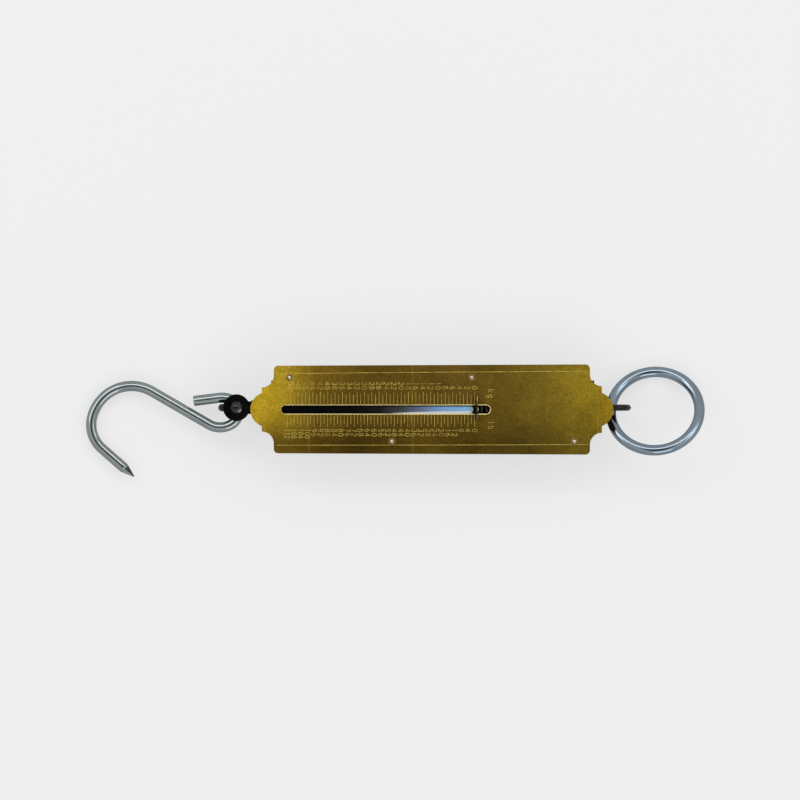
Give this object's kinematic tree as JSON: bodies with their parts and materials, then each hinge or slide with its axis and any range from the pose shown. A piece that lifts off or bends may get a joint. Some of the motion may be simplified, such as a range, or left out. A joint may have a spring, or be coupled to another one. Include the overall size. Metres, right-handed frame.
{
  "type": "spring balance",
  "caption": "Brass-faced spring balance: a steel case with a sprung draw rod, a pointer in a scale slot, an S-shaped load hook and a suspension ring.",
  "frame": {"origin": "on the flat back of the case, under the middle of the face plate", "axes": "+X runs along the balance to the suspension ring, -X to the hook, +Y across the face towards the kilogram scale, +Z out of the face"},
  "size_m": [0.3414, 0.0621, 0.0309],
  "materials": {
    "face_brass": "fine brushed brass, slightly tarnished",
    "rivet_brass": "polished brass",
    "case_black": "black lacquer",
    "plain_steel": "turned steel",
    "spring_steel": "drawn spring wire, lightly oiled",
    "strip_steel": "polished steel strip",
    "eye_black": "black oxide, worn",
    "screw_black": "black oxide, worn bright at the edges",
    "zinc_steel": "bright zinc plate"
  },
  "bodies": {
    "case": {"face_plate": "face_brass", "face_rivets": "rivet_brass", "case": "case_black", "hook_end_plate": "case_black", "ring_end_plate": "case_black", "case_rivets": "case_black", "guide_bush": "rivet_brass", "spring_anchor": "plain_steel", "spring": "spring_steel"},
    "draw": {"spring_plug": "plain_steel", "rod_nut": "plain_steel", "draw_rod": "plain_steel", "hook_eye": "eye_black", "pointer_strip": "strip_steel", "strip_post": "eye_black", "strip_rivet": "plain_steel", "pointer": "strip_steel", "pointer_rivet": "plain_steel", "adjusting_disc": "eye_black", "disc_screw": "screw_black"},
    "hook": {"s_hook": "zinc_steel"},
    "eye": {"ring_eye": "eye_black", "ring_washer": "plain_steel", "ring_nut": "plain_steel"},
    "ring": {"suspension_ring": "zinc_steel"}
  },
  "joints": [
    {"name": "draw_slide", "type": "slide", "parent": "case", "child": "draw", "axis": [-1, 0, 0], "range_m": [0, 0.1025], "stiffness_N_per_m": 4840, "deforming": ["spring"]},
    {"name": "hook_swing", "type": "hinge", "parent": "draw", "child": "hook", "pos_m": [-0.1068, -0.0018, 0.0115], "axis": [0, 1, 0], "range_deg": [-35, 45]},
    {"name": "eye_swivel", "type": "hinge", "parent": "case", "child": "eye", "pos_m": [0.0895, 0.001, 0.01365], "axis": [1, 0, 0], "range_deg": [-15, 60]},
    {"name": "ring_swing", "type": "hinge", "parent": "eye", "child": "ring", "pos_m": [0.09883, 0.001, 0.01223], "axis": [0.1116, 0.8795, -0.4627], "range_deg": [-45, 80]}
  ]
}
